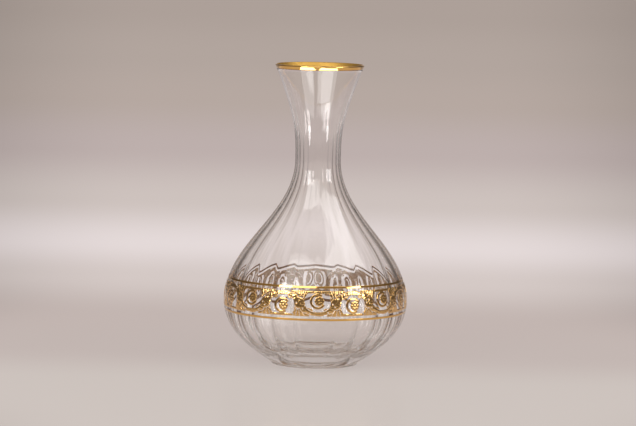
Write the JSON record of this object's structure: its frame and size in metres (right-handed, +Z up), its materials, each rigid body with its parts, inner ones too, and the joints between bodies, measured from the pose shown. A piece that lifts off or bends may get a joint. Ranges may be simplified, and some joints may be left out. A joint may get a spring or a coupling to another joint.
{
  "type": "carafe",
  "caption": "Pear-shaped carafe in clear optic-blown crystal for serving wine or water, with a gilt lip and a gilt scroll frieze between gilt lines round the belly.",
  "frame": {"origin": "centre of the foot, on the surface that the carafe stands on", "axes": "+Z up along the axis of the vessel, -Y towards the front of the picture, +X to its right"},
  "size_m": [0.1598, 0.1598, 0.2605],
  "materials": {
    "crystal": "clear crystal, fire polished, with optic flutes blown into the inner wall",
    "fired_gold": "bright burnished gold, fired on"
  },
  "bodies": {
    "root": {"glass_vessel": "crystal", "lip_gilding": "fired_gold", "upper_gold_line": "fired_gold", "lower_gold_line": "fired_gold", "frieze_vine": "fired_gold", "frieze_scroll_01": "fired_gold", "frieze_rosette_01": "fired_gold", "frieze_leaf_01": "fired_gold", "frieze_scroll_02": "fired_gold", "frieze_rosette_02": "fired_gold", "frieze_leaf_02": "fired_gold", "frieze_scroll_03": "fired_gold", "frieze_rosette_03": "fired_gold", "frieze_leaf_03": "fired_gold", "frieze_scroll_04": "fired_gold", "frieze_rosette_04": "fired_gold", "frieze_leaf_04": "fired_gold", "frieze_scroll_05": "fired_gold", "frieze_rosette_05": "fired_gold", "frieze_leaf_05": "fired_gold", "frieze_scroll_06": "fired_gold", "frieze_rosette_06": "fired_gold", "frieze_leaf_06": "fired_gold", "frieze_scroll_07": "fired_gold", "frieze_rosette_07": "fired_gold", "frieze_leaf_07": "fired_gold", "frieze_scroll_08": "fired_gold", "frieze_rosette_08": "fired_gold", "frieze_leaf_08": "fired_gold", "frieze_scroll_09": "fired_gold", "frieze_rosette_09": "fired_gold", "frieze_leaf_09": "fired_gold", "frieze_scroll_10": "fired_gold", "frieze_rosette_10": "fired_gold", "frieze_leaf_10": "fired_gold", "frieze_scroll_11": "fired_gold", "frieze_rosette_11": "fired_gold", "frieze_leaf_11": "fired_gold", "frieze_scroll_12": "fired_gold", "frieze_rosette_12": "fired_gold", "frieze_leaf_12": "fired_gold", "frieze_scroll_13": "fired_gold", "frieze_rosette_13": "fired_gold", "frieze_leaf_13": "fired_gold", "frieze_scroll_14": "fired_gold", "frieze_rosette_14": "fired_gold", "frieze_leaf_14": "fired_gold", "frieze_scroll_15": "fired_gold", "frieze_rosette_15": "fired_gold", "frieze_leaf_15": "fired_gold", "frieze_scroll_16": "fired_gold", "frieze_rosette_16": "fired_gold", "frieze_leaf_16": "fired_gold"}
  },
  "joints": []
}
